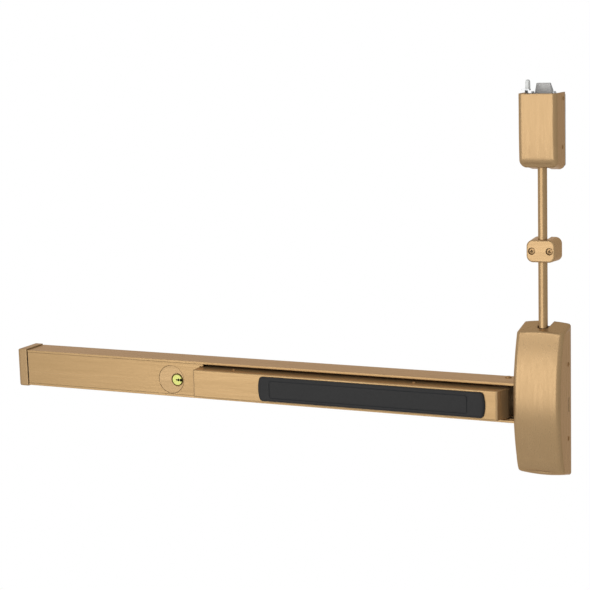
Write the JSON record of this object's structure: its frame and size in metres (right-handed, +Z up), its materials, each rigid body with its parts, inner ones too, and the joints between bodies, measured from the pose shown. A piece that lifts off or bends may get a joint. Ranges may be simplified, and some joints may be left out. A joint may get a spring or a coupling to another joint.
{
  "type": "vertical rod exit device",
  "caption": "Surface vertical rod exit device: push rail and keyed cylinder drive a rod that drops a top latch bolt.",
  "frame": {"origin": "the door face, where the vertical rod's line crosses the middle height of the rail", "axes": "+X along the rail towards the head, +Y into the door, +Z up; the device stands out along -Y"},
  "size_m": [0.8904, 0.0726, 0.5535],
  "materials": {
    "bronze_extrusion": "satin bronze, brushed along its length",
    "bronze_casting": "satin bronze, brushed upright",
    "bronze_rod": "satin bronze plating",
    "dark_pad": "dark grey, matt",
    "plug_brass": "polished yellow brass",
    "bronze_screw": "bronze plating",
    "latch_steel": "satin",
    "white_nylon": "milky, satin",
    "spring_steel": "drawn wire",
    "zinc_steel": "zinc plated"
  },
  "bodies": {
    "frame": {"base_rail": "bronze_extrusion", "rail_filler_plate": "bronze_extrusion", "cylinder_collar": "bronze_casting", "cylinder_barrel": "zinc_steel", "cylinder_ring_nut": "zinc_steel", "end_bracket": "zinc_steel", "rail_end_screws": "zinc_steel", "rail_end_cap": "bronze_casting", "end_cap_screw": "bronze_screw", "link_saddles": "zinc_steel", "channel_rivets": "zinc_steel", "crank_brackets": "zinc_steel", "crank_pivots": "zinc_steel", "crank_springs": "spring_steel", "rail_bracket": "zinc_steel", "rail_screws": "bronze_screw", "bracket_screws": "zinc_steel", "head_base_plate": "zinc_steel", "head_cover": "bronze_casting", "head_cover_screws": "bronze_screw", "window_screws": "zinc_steel", "lift_crank_stud": "zinc_steel", "lift_crank_clip": "zinc_steel", "rod_guide": "bronze_casting", "rod_guide_screws": "bronze_screw", "case_base": "zinc_steel", "case_cover": "bronze_casting", "case_cover_screws": "bronze_screw", "latch_bolt_pin": "zinc_steel", "latch_spring": "spring_steel", "trigger_pin": "zinc_steel", "trigger_spring": "spring_steel"},
    "push_rail": {"push_rail": "bronze_extrusion", "push_rail_left_end": "bronze_casting", "push_rail_right_end": "bronze_casting", "touch_pad": "dark_pad", "push_brackets": "zinc_steel", "push_pins": "zinc_steel", "push_rail_screws": "bronze_screw"},
    "left_crank": {"left_crank": "zinc_steel"},
    "right_crank": {"right_crank": "zinc_steel"},
    "link_bar": {"link_straps": "zinc_steel", "link_pins": "zinc_steel", "link_fork": "zinc_steel", "fork_rivets": "zinc_steel", "fork_pin": "zinc_steel"},
    "lift_crank": {"lift_crank": "zinc_steel"},
    "rod": {"rod": "bronze_rod", "rod_clevis": "zinc_steel", "clevis_pin": "zinc_steel", "rod_lock_nuts": "zinc_steel", "rod_top_fork": "zinc_steel", "top_fork_pin": "zinc_steel"},
    "latch_bolt": {"latch_bolt": "latch_steel"},
    "trigger": {"trigger_lever": "zinc_steel", "trigger_finger": "white_nylon"},
    "key_plug": {"key_plug": "plug_brass", "cylinder_cam": "zinc_steel", "cam_screws": "zinc_steel"}
  },
  "joints": [
    {"name": "push_rail_slide", "type": "slide", "parent": "frame", "child": "push_rail", "axis": [0, 1, 0], "range_m": [0, 0.015], "stiffness_N_per_m": 1200, "springref_m": -0.012},
    {"name": "left_crank_turn", "type": "hinge", "parent": "frame", "child": "left_crank", "pos_m": [-0.506, -0.0254, 0], "axis": [0, 0, 1], "range_deg": [0, 34.71]},
    {"name": "right_crank_turn", "type": "hinge", "parent": "frame", "child": "right_crank", "pos_m": [-0.199, -0.0254, 0], "axis": [0, 0, 1], "range_deg": [0, 34.71]},
    {"name": "link_slide", "type": "slide", "parent": "frame", "child": "link_bar", "axis": [-1, 0, 0], "range_m": [0, 0.012]},
    {"name": "lift_crank_turn", "type": "hinge", "parent": "frame", "child": "lift_crank", "pos_m": [-0.0184, -0.0196, 0.0192], "axis": [0, 1, 0], "range_deg": [0, 34.71]},
    {"name": "rod_slide", "type": "slide", "parent": "frame", "child": "rod", "axis": [0, 0, -1], "range_m": [0, 0.0115]},
    {"name": "latch_bolt_turn", "type": "hinge", "parent": "frame", "child": "latch_bolt", "pos_m": [0, -0.0073, 0.4015], "axis": [1, 0, 0], "range_deg": [0, 50.11]},
    {"name": "trigger_turn", "type": "hinge", "parent": "frame", "child": "trigger", "pos_m": [-0.019, -0.012, 0.404], "axis": [1, 0, 0], "range_deg": [0, 12], "stiffness_Nm_per_rad": 0.05, "springref_deg": -11.46},
    {"name": "key_plug_turn", "type": "hinge", "parent": "frame", "child": "key_plug", "pos_m": [-0.5658, -0.043, -0.002], "axis": [0, 1, 0], "range_deg": [0, 90]}
  ],
  "couplings": [
    {"joint": "left_crank_turn", "follows": "push_rail_slide", "rad_per_m": 40.384},
    {"joint": "right_crank_turn", "follows": "push_rail_slide", "rad_per_m": 40.384},
    {"joint": "link_slide", "follows": "push_rail_slide", "ratio": 0.8},
    {"joint": "lift_crank_turn", "follows": "push_rail_slide", "rad_per_m": 40.384},
    {"joint": "rod_slide", "follows": "push_rail_slide", "ratio": 0.76666},
    {"joint": "latch_bolt_turn", "follows": "push_rail_slide", "rad_per_m": 58.305}
  ]
}
